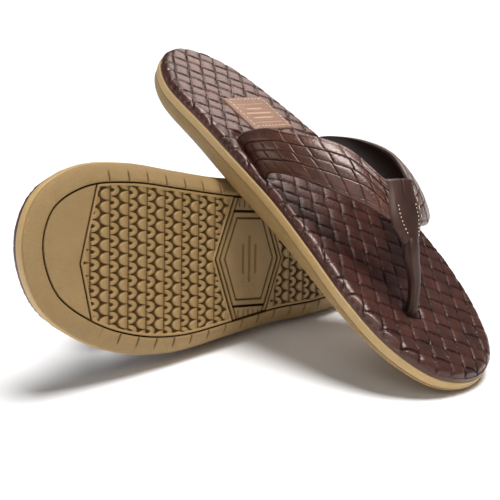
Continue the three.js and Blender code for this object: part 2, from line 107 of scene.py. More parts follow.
# Straps
THROAT_MEDIAL = [(-15, 39.5, 64), (-22, 72.5, 47)]
THROAT_LATERAL = [(-1.5, 43.5, 66), (-12.5, 75, 47)]
THROAT_SHARE = 0.72
THROAT_CLEARANCE = 1.1
THROAT_OUTWARD = np.array([0, 0.45, 0.9]) / math.hypot(0.45, 0.9)
ROOT_RISE = 1.5
POST = dict(x=-13, y=95, radius=3.4, top=4.6)
STRAP_ARCH = 3
UPPER_BASE, UPPER_THICKNESS, UPPER_SWELL, EMBOSS_DEPTH = 0.12, 1.3, 0.3, 0.55
LINING_GAP, LINING_THICKNESS = 0.15, 1.0
SEAM_INSET = 2.6  # of the heel label
STRAPS = {
    "medial": dict(
        side=-1, root=[(-28, -50), (-37, -14)],
        rear=[(-33, -34, 43), (-33, -20, 51), (-28, -5, 59), (-20, 12, 63.5)],
        front=[(-40.5, 5, 39), (-38, 23, 46), (-33, 37, 49.5), (-27.5, 50, 52)]),
    "lateral": dict(
        side=1, root=[(38, -42), (45, -4)],
        rear=[(46, -27, 37), (45, -12, 44.5), (35, 6, 53), (17, 25, 61)],
        front=[(50.5, 14, 34), (45, 32, 41), (31, 50, 45), (12, 63, 48)]),
}

# How the pair stands, and the camera
TURN = {"right": (-101.3, -44.8, 91.2), "left": (20.7, 26.5, -137.1)}
SIDE = {"right": 1, "left": -1}
CAMERA = dict(x=-7.1, y=-635.4, z=219.8, tilt=75.6, lens=78.1)

# Stage, in metres
FLOOR = dict(level=10, reach=20, rise=2, grey=0.93)
WORLD_STRENGTH = 0.12
SUNS = {  # direction of the light, its spread in degrees and its strength
    "key": ((0.16, -0.08, 1.0), 28, 3.5),
    "fill": ((-0.2, -0.8, 0.6), 40, 0.5),
}
PANEL = dict(place=(0.12, 0.40, 0.48), target=(-0.06, 0.03, 0.13),
             size=0.3, power=0.8, colour=(1, 0.86, 0.8))

OUTLINE = [
    (0, -0.5), (0.48, -0.472), (0.83, -0.403), (1.04, -0.276), (1.035, -0.138),
    (1.04, -0.007), (1.07, 0.133), (1.03, 0.25), (0.84, 0.366), (0.48, 0.463),
    (-0.09, 0.5), (-0.58, 0.469), (-0.86, 0.379), (-0.92, 0.259), (-0.87, 0.136),
    (-0.86, 0.014), (-0.93, -0.103), (-0.96, -0.241), (-0.905, -0.383), (-0.5, -0.472),
]


# ---- numbers ----

def mix(a, b, t):
    return a + (b - a) * t


def smooth(low, high, value):
    t = np.clip((value - low) / (high - low), 0, 1)
    return t * t * (3 - 2 * t)


def bump(distance, width):
    """1 on a line, 0 from `width` away."""
    return 1 - smooth(0, width, np.abs(distance))


def catmull(points, t, closed=False):
    """Points at the shares t of a centripetal Catmull-Rom curve."""
    pts = np.asarray(points, float)
    count = len(pts)
    spans = count if closed else count - 1
    place = np.clip(np.asarray(t, float), 0, 1) * spans
    i = np.minimum(place.astype(int), spans - 1)
    w = (place - i)[..., None]
    if closed:
        p = [pts[(i + k) % count] for k in (-1, 0, 1, 2)]
    else:
        padded = np.vstack([2 * pts[0] - pts[1], pts, 2 * pts[-1] - pts[-2]])
        p = [padded[i + k] for k in range(4)]
    d = [np.maximum(((p[k + 1] - p[k]) ** 2).sum(-1, keepdims=True) ** 0.25, 1e-4) for k in range(3)]
    m1 = ((p[1] - p[0]) / d[0] - (p[2] - p[0]) / (d[0] + d[1]) + (p[2] - p[1]) / d[1]) * d[1]
    m2 = ((p[2] - p[1]) / d[1] - (p[3] - p[1]) / (d[1] + d[2]) + (p[3] - p[2]) / d[2]) * d[1]
    bend = -3 * p[1] + 3 * p[2] - 2 * m1 - m2
    return p[1] + m1 * w + bend * w**2 + (2 * p[1] - 2 * p[2] + m1 + m2) * w**3


def by_length(points, count, closed=False):
    """The line through the points as `count` points at even steps of its length."""
    pts = np.vstack([points, points[:1]]) if closed else np.asarray(points)
    run = np.concatenate([[0], np.cumsum(np.linalg.norm(np.diff(pts, axis=0), axis=1))])
    at = np.linspace(0, run[-1], count, endpoint=not closed)
    return np.stack([np.interp(at, run, pts[:, k]) for k in range(pts.shape[1])], 1)


# ---- outline and heights ----

def half_width(share):
    return mix(HEEL_WIDTH, FOREFOOT_WIDTH, smooth(-0.3, 0.15, share)) / 2


def outline():
    """The outline as even points with their inward normals, its corners eased."""
    knots = [(u * half_width(v), v * LENGTH) for u, v in OUTLINE]
    fine = 4 * EDGE_POINTS
    points = by_length(catmull(knots, np.arange(fine) / fine, True), EDGE_POINTS, True)
    waves = np.fft.fftfreq(EDGE_POINTS)
    ease = np.exp(-0.5 * (waves * 2 * math.pi * EDGE_EASE) ** 2)
    points = np.fft.ifft(np.fft.fft(points, axis=0) * ease[:, None], axis=0).real
    along = np.roll(points, -1, 0) - np.roll(points, 1, 0)
    along /= np.linalg.norm(along, axis=1, keepdims=True)
    return points, np.stack([-along[:, 1], along[:, 0]], 1)


EDGE, INWARD = outline()


def edge_at(inset):
    return EDGE + INWARD * inset


def rand_top(y):
    rear = mix(HEEL_HEIGHT, WAIST_HEIGHT, smooth(-0.38 * LENGTH, WAIST_Y, y))
    return np.where(y < WAIST_Y, rear, mix(WAIST_HEIGHT, TOE_HEIGHT, smooth(WAIST_Y, 0.5 * LENGTH, y)))


def outsole_top(y):
    return rand_top(y) - RAND_HEIGHT - GAP


def cover_top(y):
    return rand_top(y) + GAP + FOAM_THICKNESS + GAP + COVER_THICKNESS


def from_edge(x, y, inset=0.0):
    """How far inside the outline each point is."""
    ring = edge_at(inset)[::2]
    flat = np.stack([x.ravel(), y.ravel()], 1).astype(np.float32)
    out = np.empty(len(flat))
    for k in range(0, len(flat), 4000):
        d = flat[k:k + 4000, None] - ring[None].astype(np.float32)
        out[k:k + 4000] = np.sqrt((d * d).sum(-1).min(1))
    return out.reshape(x.shape)


# ---- meshes ----

class Shape:
    """Points in shoe millimetres, quads and larger faces, and a relief from 0, proud, to 1, deep, which
    paints shade into the colour and fades the gloss (on the label its colour is a pale print instead).
    """

    def __init__(self, points, quads, polygons=(), relief=None):
        self.points = np.asarray(points, float).reshape(-1, 3)
        self.quads = np.asarray(quads, int).reshape(-1, 4)
        self.polygons = [np.asarray(p, int) for p in polygons]
        self.relief = np.zeros(len(self.points)) if relief is None else np.asarray(relief, float)

    def joined(self, other):
        n = len(self.points)
        return Shape(np.vstack([self.points, other.points]), np.vstack([self.quads, other.quads + n]),
                     self.polygons + [p + n for p in other.polygons],
                     np.concatenate([self.relief, other.relief]))


def join_all(shapes):
    return functools.reduce(Shape.joined, shapes)


def grid_quads(rows, columns, wrap=False, first=0):
    """Quads of a grid of points; with `wrap` the last column joins the first."""
    i, j = np.meshgrid(np.arange(rows - 1), np.arange(columns if wrap else columns - 1), indexing="ij")
    k = (j + 1) % columns
    quads = np.stack([i * columns + j, i * columns + k, (i + 1) * columns + k, (i + 1) * columns + j], -1)
    return quads.reshape(-1, 4) + first


def ring_shape(profile, cap_first=True, cap_last=True, closed=False, relief=None):
    """Rings round the sole. The profile is a list of (inset, z) arrays or numbers along the outline."""
    y = EDGE[:, 1]
    rings = []
    for inset, z in profile:
        inset = np.broadcast_to(inset, y.shape)
        p = EDGE + INWARD * inset[:, None]
        rings.append(np.column_stack([p, np.broadcast_to(z(p[:, 1]) if callable(z) else z, y.shape)]))
    n, count = len(EDGE), len(rings)
    quads = [grid_quads(count, n, True)]
    if closed:
        j = np.arange(n)
        k = (j + 1) % n
        last = (count - 1) * n
        quads.append(np.stack([last + j, last + k, k, j], 1))
    half = n // 2
    for wanted, base, flip in ((cap_first, 0, True), (cap_last, (count - 1) * n, False)):
        if wanted and not closed:
            i = np.arange(1, half - 1)
            quad = np.stack([base + i, base + i + 1, base + n - i - 1, base + n - i], 1)
            quads.append(quad[:, ::-1] if flip else quad)
    shade = None if relief is None else np.concatenate([np.broadcast_to(r, y.shape) for r in relief])
    return Shape(np.concatenate(rings), np.concatenate(quads), relief=shade)


def spread(length, step, tip_start=0.0, tip_end=0.0):
    """Shares from 0 to 1 in even steps, closer together within the tips' lengths."""
    parts = []
    if tip_start:
        parts.append(tip_start * (np.arange(1, TIP_STEPS + 1) / TIP_STEPS) ** 2)
    low, high = tip_start, length - tip_end
    parts.append(np.linspace(low, high, max(2, int((high - low) / step)) + 1)[1 if tip_start else 0:])
    if tip_end:
        parts.append(length - tip_end * (np.arange(TIP_STEPS - 1, 0, -1) / TIP_STEPS) ** 2)
    return np.concatenate(parts) / length


def sides_of(inset):
    """Functions for the x of the inner and the outer side of an outline, and its lowest and highest y."""
    ring = edge_at(inset)
    low, high = ring[:, 1].argmin(), ring[:, 1].argmax()
    ring = np.roll(ring, -low, 0)
    top = (high - low) % len(ring)
    outer = ring[:top + 1]
    inner = np.vstack([ring[top:], ring[:1]])[::-1]
    return (lambda y: np.interp(y, inner[:, 1], inner[:, 0]),
            lambda y: np.interp(y, outer[:, 1], outer[:, 0]), ring[0, 1], ring[top, 1])


def deck(inset, step, rear=None, front=None):
    """A grid of x and y over the sole inside an outline, between two lines across it or to its tips."""
    inner, outer, low, high = sides_of(inset)
    rear_line = rear or (lambda x: low + 0 * x)
    front_line = front or (lambda x: high + 0 * x)
    length = front_line(BADGE_X) - rear_line(BADGE_X)
    u = spread(length, step, 0 if rear else 8, 0 if front else 8)
    v = spread(FOREFOOT_WIDTH * 0.85, step, 3, 3)
    v = np.concatenate([[0], v, [1]])
    u, v = np.meshgrid(u, v, indexing="ij")
    x, y = np.zeros_like(u), mix(rear_line(BADGE_X), front_line(BADGE_X), u)
    for _ in range(12):
        x = mix(inner(y), outer(y), v)
        y = mix(rear_line(x), front_line(x), u)
    return x, y


def rim_of(rows, columns):
    """The numbers of the points round the edge of a grid, in order."""
    at = np.arange(rows * columns).reshape(rows, columns)
    return np.concatenate([at[0], at[1:, -1], at[-1, -2::-1], at[-2:0:-1, 0]])


def block(x, y, z, back):
    """A closed body: the surface z over the grid, straight sides, and a back of quads from side to side."""
    rows, columns = x.shape
    loop = rim_of(rows, columns)
    top = np.stack([x, y, z], -1).reshape(-1, 3)
    under = top[loop].copy()
    under[:, 2] = back(under[:, 1]) if callable(back) else back
    n, k = len(loop), rows * columns
    step = np.arange(n)
    walls = np.stack([loop, k + step, k + (step + 1) % n, np.roll(loop, -1)], 1)
    right = k + columns - 1 + np.arange(rows)
    left = k + (n - np.arange(rows)) % n
    backs = np.stack([right[:-1], left[:-1], left[1:], right[1:]], 1)
    far = k + columns + rows - 2
    ends = [np.arange(k, k + columns)[::-1], np.arange(far, far + columns)[::-1]]
    return Shape(np.vstack([top, under]), np.vstack([grid_quads(rows, columns), walls, backs]), ends)


def sheet(outer, inner, relief=None):
    """A closed sheet between two grids of points."""
    rows, columns = outer.shape[:2]
    loop = rim_of(rows, columns)
    n = rows * columns
    walls = np.stack([loop, loop + n, np.roll(loop, -1) + n, np.roll(loop, -1)], 1)
    quads = np.vstack([grid_quads(rows, columns), grid_quads(rows, columns)[:, ::-1] + n, walls])
    shade = None if relief is None else np.concatenate([relief.ravel(), np.zeros(n)])
    return Shape(np.vstack([outer.reshape(-1, 3), inner.reshape(-1, 3)]), quads, relief=shade)


def tube(path, radius, sides=32, squash=1.0, wrinkle=None):
    """A closed rod along a path; `wrinkle(angle, share)` is added to its radius."""
    path = np.asarray(path, float)
    along = np.gradient(path, axis=0)
    along /= np.linalg.norm(along, axis=1, keepdims=True)
    across = np.tile([1.0, 0, 0], (len(path), 1))
    across -= along * (across * along).sum(1, keepdims=True)
    across /= np.linalg.norm(across, axis=1, keepdims=True)
    forward = np.cross(along, across)
    angle = np.arange(sides) / sides * 2 * math.pi
    share = np.linspace(0, 1, len(path))
    r = np.broadcast_to(np.asarray(radius, float), (len(path),))[:, None] + np.zeros(sides)
    fold = np.zeros_like(r) if wrinkle is None else wrinkle(angle[None], share[:, None])
    r = r + fold
    points = (path[:, None] + across[:, None] * (r * np.cos(angle))[..., None]
              + forward[:, None] * (r * squash * np.sin(angle))[..., None])
    last = (len(path) - 1) * sides
    ends = [np.arange(sides)[::-1], last + np.arange(sides)]
    # The relief is painted shade in the folds, where the wrinkle sinks the surface.
    return Shape(points, grid_quads(len(path), sides, True), ends, np.clip(-fold * 2, 0, 1).ravel())


def stitches(line, lift, length=2.4, gap=1.1, radius=0.42):
    """A row of short rounded threads along a line; `lift` is the direction off the surface there."""
    line, lift = np.asarray(line, float), np.asarray(lift, float)
    run = np.concatenate([[0], np.cumsum(np.linalg.norm(np.diff(line, axis=0), axis=1))])
    count = max(1, int((run[-1] + gap) / (length + gap)))
    starts = (run[-1] - count * (length + gap) + gap) / 2 + np.arange(count) * (length + gap)
    threads = []
    ends = np.array([0, 0.06, 0.2, 0.5, 0.8, 0.94, 1])
    for s in starts:
        at = s + length * ends
        p = np.stack([np.interp(at, run, line[:, k]) for k in range(3)], 1)
        up = np.stack([np.interp(at, run, lift[:, k]) for k in range(3)], 1)
        up /= np.linalg.norm(up, axis=1, keepdims=True)
        swell = np.sqrt(np.clip(1 - (2 * ends - 1) ** 2, 0.03, 1))
        p = p + up * (radius * (swell - 0.45))[:, None]
        along = p[-1] - p[0]
        along /= np.linalg.norm(along)
        side = np.cross(along, up[3])
        sides = 8
        angle = np.arange(sides) / sides * 2 * math.pi
        r = radius * np.maximum(swell, 0.3)
        points = (p[:, None] + side * (r[:, None] * np.cos(angle))[..., None]
                  + np.cross(side, along) * (r[:, None] * np.sin(angle))[..., None])
        last = (len(ends) - 1) * sides
        caps = [np.arange(sides)[::-1], last + np.arange(sides)]
        threads.append(Shape(points, grid_quads(len(ends), sides, True), caps))
    return join_all(threads)


def place_of(foot):
    """The turn of a shoe and the place of its origin, in millimetres."""
    x, y, z = (math.radians(a) for a in TURN[foot])
    turn = (np.array([[1, 0, 0], [0, math.cos(x), -math.sin(x)], [0, math.sin(x), math.cos(x)]])
            @ np.array([[math.cos(y), 0, math.sin(y)], [0, 1, 0], [-math.sin(y), 0, math.cos(y)]])
            @ np.array([[math.cos(z), -math.sin(z), 0], [math.sin(z), math.cos(z), 0], [0, 0, 1]]))
    low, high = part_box(f"{foot}_waist_badge")
    middle = (np.array(low) + np.array(high)) / 2 * MILLIMETRES
    return turn, middle - turn @ np.array([SIDE[foot] * BADGE_X, BADGE_Y, (POCKET_DEPTH - GAP) / 2])


def new_object(name, data):
    made = bpy.data.objects.new(name, data)
    bpy.context.scene.collection.objects.link(made)
    return made


def add_piece(foot, name, shape, material, stands_for=(), crease=40):
    """Makes the mesh of one piece in place, on its shoe's body."""
    turn, origin = place_of(foot)
    flat = shape.points.astype(np.float32)
    world = ((shape.points * [SIDE[foot], 1, 1]) @ turn.T + origin) / MILLIMETRES
    p, q = shape.points[shape.quads], shape.quads
    facing = np.cross(p[:, 2] - p[:, 0], p[:, 3] - p[:, 1])
    volume = (facing * (p.mean(1) - shape.points.mean(0))).sum()
    flip = (volume < 0) != (foot == "left")
    polygons = [c[::-1] if flip else c for c in shape.polygons]
    if flip:
        q = q[:, ::-1]
    mesh = bpy.data.meshes.new(f"{foot}_{name}_looks")
    mesh.vertices.add(len(world))
    mesh.vertices.foreach_set("co", world.astype(np.float32).ravel())
    corners = np.concatenate([q.ravel(), *polygons]).astype(np.int32)
    mesh.loops.add(len(corners))
    mesh.loops.foreach_set("vertex_index", corners)
    sizes = np.concatenate([np.full(len(q), 4), [len(c) for c in polygons]]).astype(int)
    mesh.polygons.add(len(sizes))
    mesh.polygons.foreach_set("loop_start", np.concatenate([[0], np.cumsum(sizes)[:-1]]).astype(np.int32))
    mesh.update(calc_edges=True)
    mesh.attributes.new("flat", "FLOAT_VECTOR", "POINT").data.foreach_set("vector", flat.ravel())
    relief = mesh.attributes.new("relief", "FLOAT", "POINT")
    relief.data.foreach_set("value", shape.relief.astype(np.float32))
    mesh.shade_smooth()
    mesh.set_sharp_from_angle(angle=math.radians(crease))
    mesh.materials.append(material)
    piece = new_object(f"{foot}_{name}_looks", mesh)
    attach(piece, f"{foot}_flip_flop")
    if stands_for:
        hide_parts(*(f"{foot}_{node}" for node in stands_for))
    return piece


# ---- materials ----

def srgb(r, g, b):
    def linear(c):
        c /= 255
        return c / 12.92 if c <= 0.04045 else ((c + 0.055) / 1.055) ** 2.4
    return (linear(r), linear(g), linear(b), 1)


BLOTCH_SCALE = 0.07  # per millimetre
PORE_SCALE = 0.55  # as a share of the grain
SPECKLE = (0.78, 1.16)  # how far the grain darkens and lightens the colour
ROUGH_SWING = (0.8, 1.25)  # how far it varies the roughness
PLAIN_SPECULAR = 0.4
PROUD_SPECULAR = 0.65  # at the top of the relief; it fades to 0 in the depth
COAT_ROUGHNESS = 0.22


def finish_of(name, colours, rough, grain, depth, coat=0.0, pores=0.0, blotch=0.35,
              tint=(1, 1, 1, 1), own_flat=True):
    """A procedural material of three colours: the surface, its blotches, and a painted shade where the
    relief is deep (on the label a pale print).
    """
    colour, shade, deep = (srgb(*c) for c in colours)
    material = bpy.data.materials.new(name)
    material.use_nodes = True
    nodes, links = material.node_tree.nodes, material.node_tree.links
    nodes.clear()

    def node(kind, **values):
        made = nodes.new(kind)
        for key, value in values.items():
            if key in made.inputs:
                made.inputs[key].default_value = value
            else:
                setattr(made, key.lower(), value)
        return made

    def link(source, output, target, entry):
        links.new(source.outputs[output], target.inputs[entry])

    def ranged(source, output, low, high):
        """A node that turns 0 to 1 into low to high."""
        made = node("ShaderNodeMapRange", **{"To Min": low, "To Max": high})
        link(source, output, made, "Value")
        return made

    if own_flat:
        spot, spot_out, unit = node("ShaderNodeAttribute", attribute_name="flat"), "Vector", 1
    else:
        spot, spot_out, unit = node("ShaderNodeTexCoord"), "Object", MILLIMETRES
    wide = node("ShaderNodeTexNoise", Scale=BLOTCH_SCALE * unit, Detail=4.0, Roughness=0.6)
    fine = node("ShaderNodeTexNoise", Scale=grain * unit, Detail=5.0, Roughness=0.65)
    cells = node("ShaderNodeTexVoronoi", Scale=grain * PORE_SCALE * unit)
    for texture in (wide, fine, cells):
        link(spot, spot_out, texture, "Vector")

    tone = node("ShaderNodeMix", data_type="RGBA")
    patches = node("ShaderNodeMapRange", **{"From Min": 0.5 - blotch / 2, "From Max": 0.5 + blotch / 2})
    link(wide, "Fac", patches, "Value")
    link(patches, "Result", tone, "Factor")
    tone.inputs[6].default_value = colour
    tone.inputs[7].default_value = shade

    speckle = node("ShaderNodeMix", data_type="RGBA", blend_type="MULTIPLY")
    speckle.inputs[0].default_value = 1.0
    links.new(tone.outputs[2], speckle.inputs[6])
    link(ranged(fine, "Fac", *SPECKLE), "Result", speckle, 7)

    last = speckle
    # Painted shade: the colour turns to the third colour as the relief attribute rises (a pale print on the
    # label).
    if own_flat:
        depth_at = node("ShaderNodeAttribute", attribute_name="relief")
        sunk = node("ShaderNodeMix", data_type="RGBA")
        link(depth_at, "Fac", sunk, "Factor")
        links.new(speckle.outputs[2], sunk.inputs[6])
        sunk.inputs[7].default_value = deep
        last = sunk

    surface = node("ShaderNodeBsdfPrincipled")
    links.new(last.outputs[2], surface.inputs["Base Color"])
    gloss = ranged(fine, "Fac", rough * ROUGH_SWING[0], min(1.0, rough * ROUGH_SWING[1]))
    link(gloss, "Result", surface, "Roughness")
    surface.inputs["Specular IOR Level"].default_value = PLAIN_SPECULAR
    if own_flat:
        for entry, weight in (("Coat Weight", coat), ("Specular IOR Level", PROUD_SPECULAR)):
            link(ranged(depth_at, "Fac", weight, 0.0), "Result", surface, entry)
    surface.inputs["Coat Roughness"].default_value = COAT_ROUGHNESS
    surface.inputs["Specular Tint"].default_value = tint

    height = node("ShaderNodeMath", operation="MULTIPLY_ADD")
    links.new(cells.outputs["Distance"], height.inputs[0])
    height.inputs[1].default_value = pores
    link(fine, "Fac", height, 2)
    rise = node("ShaderNodeBump", Strength=1.0)
    rise.inputs["Distance"].default_value = depth / MILLIMETRES
    links.new(height.outputs[0], rise.inputs["Height"])
    link(rise, "Normal", surface, "Normal")
    output = node("ShaderNodeOutputMaterial")
    link(surface, "BSDF", output, "Surface")
    return material


WARM = (1, 0.78, 0.7, 1)
# Colours: the surface, its blotches, and the painted shade in the deep relief (on the label, a pale print).
FINISHES = {
    "outsole_rubber": dict(colours=((170, 138, 86), (154, 123, 74), (66, 46, 22)),
                           rough=0.55, grain=0.9, depth=1.0, blotch=0.9),
    "tread_rubber": dict(colours=((174, 141, 89), (158, 127, 78), (74, 53, 26)),
                         rough=0.55, grain=1.6, depth=0.10, blotch=0.9),
    "rand_rubber": dict(colours=((198, 165, 112), (182, 150, 98), (90, 66, 34)),
                        rough=0.5, grain=0.8, depth=0.06, blotch=0.9),
    "footbed_leather": dict(colours=((78, 42, 34), (52, 27, 22), (14, 6, 4)),
                            rough=0.34, grain=0.9, depth=0.16, coat=0.2, pores=0.7, tint=WARM),
    "strap_leather": dict(colours=((88, 52, 40), (60, 34, 26), (18, 8, 6)),
                          rough=0.34, grain=0.9, depth=0.16, coat=0.3, pores=0.7, tint=WARM),
    "lining_leather": dict(colours=((48, 29, 25), (36, 22, 19), (12, 7, 6)),
                           rough=0.55, grain=2.2, depth=0.05, pores=0.4),
    "post_leather": dict(colours=((60, 34, 28), (44, 25, 20), (14, 7, 6)),
                         rough=0.45, grain=1.8, depth=0.06, pores=0.3, tint=WARM),
    "label_leather": dict(colours=((146, 104, 80), (128, 88, 66), (206, 176, 150)),
                          rough=0.5, grain=1.6, depth=0.08, pores=0.5),
    "thread_cream": dict(colours=((232, 214, 178), (212, 192, 154), (120, 96, 60)),
                         rough=0.6, grain=5.0, depth=0.05),
    "thread_brown": dict(colours=((112, 76, 62), (90, 58, 46), (20, 10, 6)),
                         rough=0.55, grain=5.0, depth=0.05),
}
HIDDEN_FINISHES = {
    "foam": dict(colours=((150, 132, 104), (132, 114, 88), (60, 50, 36)),
                 rough=0.95, grain=2.5, depth=0.1, pores=1.2),
    "board": dict(colours=((168, 142, 104), (150, 124, 88), (60, 50, 36)),
                  rough=0.9, grain=1.2, depth=0.08),
    "tab_leather": dict(colours=((34, 24, 22), (26, 18, 17), (8, 5, 5)),
                        rough=0.6, grain=1.8, depth=0.08, pores=0.5),
    "webbing": dict(colours=((30, 26, 24), (22, 18, 17), (8, 5, 5)),
                    rough=0.9, grain=3.0, depth=0.15),
}
LOOKS = {name: finish_of(name, **finish) for name, finish in FINISHES.items()}
HIDDEN_LOOKS = {name: finish_of(name, own_flat=False, **finish)
                for name, finish in HIDDEN_FINISHES.items()}


# ---- outsole ----

def outsole_shape():
    """The rubber sole from the rim of the tread pocket over its rounded edge to the rand, with sipes."""
    y = EDGE[:, 1]
    run = np.concatenate([[0], np.cumsum(np.linalg.norm(np.diff(EDGE, axis=0), axis=1))])
    nearest = np.abs((run / SIPE_PITCH) % 1 - 0.5) * SIPE_PITCH
    beside = smooth(-2, 4, toe_chevron(EDGE[:, 0]) - y) * smooth(-136, -126, y)
    sipe = bump(SIPE_PITCH / 2 - nearest, 0.9) * beside
    top = outsole_top(y)
    # The relief here is painted shade: full on the floor of the tread pocket, fading up its wall, in the
    # sipes, and towards the gap under the rand.
    profile, relief = [(POCKET_INSET, POCKET_DEPTH)], [1.0]
    for inset, z in ((11, 0.5), (10.9, 0.22), (10.7, 0.06), (10.4, 0), (9.9, 0)):
        notch = sipe * smooth(10.9, 10.2, inset) * SIPE_DEPTH
        profile.append((inset, z + notch))
        relief.append(np.maximum(sipe * SIPE_PAINTED_SHADE * smooth(11, 10.4, inset), 0.75 * smooth(0.02, 0.5, z)))
    for angle in np.linspace(BEVEL_START, math.pi / 2, 17):
        fade = smooth(22, 12, math.degrees(angle - BEVEL_START))
        depth = sipe * SIPE_DEPTH * fade
        inset = 0.9 + 8.5 * (1 - math.sin(angle)) / (1 - math.sin(BEVEL_START)) + depth * math.sin(angle)
        z = 0.8 * top * (1 - math.cos(angle) / math.cos(BEVEL_START)) + depth * math.cos(angle)
        profile.append((inset, z))
        relief.append(sipe * SIPE_PAINTED_SHADE * fade)
    for share in (0.86, 0.92, 0.965):
        profile.append((0.85, top * share))
        relief.append(0.0)
    profile += [(0.95, top * 0.993), (1.3, top)]
    relief += [0.15, 0.6]
    return ring_shape(profile, relief=relief)


def chevron(apex, slope):
    return lambda x: apex - slope * np.abs(x - BADGE_X)


badge_front = chevron(BADGE_Y + BADGE_APEX + CHEVRON_MARGIN, CHEVRON_SLOPE)
badge_rear = chevron(BADGE_Y - BADGE_APEX - CHEVRON_MARGIN, -CHEVRON_SLOPE)
toe_chevron = chevron(TOE_CHEVRON_Y, TOE_CHEVRON_SLOPE)


def lip(distance, radius=0.55):
    """How far a rounded edge drops at a distance from it."""
    t = np.clip(1 - distance / radius, 0, 1)
    return radius * (1 - np.sqrt(1 - t * t * 0.98))


def fish_scales(x, y):
    """Depth of the scale tread: in each period a row of D shapes and a row of thick crescents."""
    row = y / SCALE_PERIOD
    along = (row % 1) * SCALE_PERIOD
    drift = np.floor(row) * SCALE_DRIFT * SCALE_PITCH

    def across(shift):
        return ((x + drift + shift * SCALE_PITCH) / SCALE_PITCH % 1 - 0.5) * SCALE_PITCH

    # The D: its straight side faces the heel, its round side the toes.
    a, b = across(0), along - 0.3
    dome = (1 - np.hypot(a / 3.42, b / 6.5)) * 4.2
    scale = np.where(b > 0, np.minimum(dome, b * 1.4), b * 3)
    # The crescent: its round side faces the heel, its open side the toes, with a notch in it.
    a, b = across(0.5), along - 12.75
    hull = (1 - np.hypot(a / 3.4, b / 6.3)) * 4.0
    notch = (np.hypot(a / 1.05, b / 2.3) - 1) * 1.6
    moon = np.where(b < 0, np.minimum(np.minimum(hull, -b * 1.4), notch), -b * 3)
    proud = smooth(-0.12, 0.5, np.maximum(scale, moon))
    tilt = np.where(scale > moon, 0.55 * smooth(6.4, 0.5, along), 0.45 * smooth(12.6, 7.5, along))
    return 1 - proud + tilt * proud


def pod(inset, step, rear, front, depth, grow=0.5):
    """A pod of tread between two lines across the sole; `depth(x, y, edge)` is its relief from 0 to 1."""
    rear_line = rear and (lambda x: rear(x) + grow)
    front_line = front and (lambda x: front(x) - grow)
    x, y = deck(inset, step, rear_line, front_line)
    edge = from_edge(x, y, inset)
    if rear:
        edge = np.minimum(edge, (y - rear_line(x)) * 0.93)
    if front:
        edge = np.minimum(edge, (front_line(x) - y) * 0.93)
    relief = depth(x, y, edge)
    shape = block(x, y, lip(edge) + relief * SCALE_DEPTH, POCKET_DEPTH - GAP)
    # Painted shade in the grooves between the scales and along the pod's edge, and full over its sides and
    # back.
    shade = np.clip(relief * 1.35 - 0.4, 0, 1) + 0.35 * bump(edge, 0.5)
    shape.relief[:x.size] = np.clip(shade, 0, 1).ravel()
    shape.relief[x.size:] = 1
    return shape


def tread_depth(x, y, edge):
    plain = smooth(1.6, 1.0, edge)
    return fish_scales(x, y) * (1 - plain)


def plain_depth(x, y, edge):
    return np.zeros_like(x)


def hexagon(x, y):
    """How far inside the badge's six sides each point is."""
    dx, dy = np.abs(x - BADGE_X), np.abs(y - BADGE_Y)
    slope = (BADGE_APEX - BADGE_SIDE) / BADGE_HALF
    return np.minimum(BADGE_HALF - dx, (BADGE_APEX - slope * dx - dy) / math.hypot(1, slope))


def bars_of(dx, dy, bars, soft):
    """Plain bars across a patch, 1 inside them; `soft` is half the width of their edges' slope."""
    marks = np.zeros_like(dx)
    for centre, half, thick in bars:
        inside = np.minimum(half - np.abs(dx), thick - np.abs(dy - centre))
        marks = np.maximum(marks, smooth(-soft, soft, inside))
    return marks


def cut_block(x, y, edge, relief):
    """A block of rubber with a rounded edge, sunk where the relief is deep, with painted shade in the cuts,
    along its edge and over its sides and back.
    """
    shape = block(x, y, lip(edge) + relief * CUT_DEPTH, POCKET_DEPTH - GAP)
    shape.relief[:x.size] = np.clip(relief * 0.95 + 0.5 * bump(edge, 0.5), 0, 1).ravel()
    shape.relief[x.size:] = 1
    return shape


def badge_shape():
    """The hexagonal badge with a sunk line round it and a plain mark of bars in the middle."""
    step = 0.3
    slope = (BADGE_APEX - BADGE_SIDE) / BADGE_HALF
    x = BADGE_X + np.linspace(-BADGE_HALF, BADGE_HALF, int(2 * BADGE_HALF / step))
    v = np.linspace(-1, 1, int(2 * BADGE_APEX / step))
    v, x = np.meshgrid(v, x, indexing="ij")
    y = BADGE_Y + v * (BADGE_APEX - slope * np.abs(x - BADGE_X))
    edge = hexagon(x, y)
    line = bump(edge - 3.4, 1.0)
    bars = bars_of(x - BADGE_X, y - BADGE_Y, BADGE_BARS, 0.3)
    return cut_block(x, y, edge, np.maximum(line, bars * 0.45))


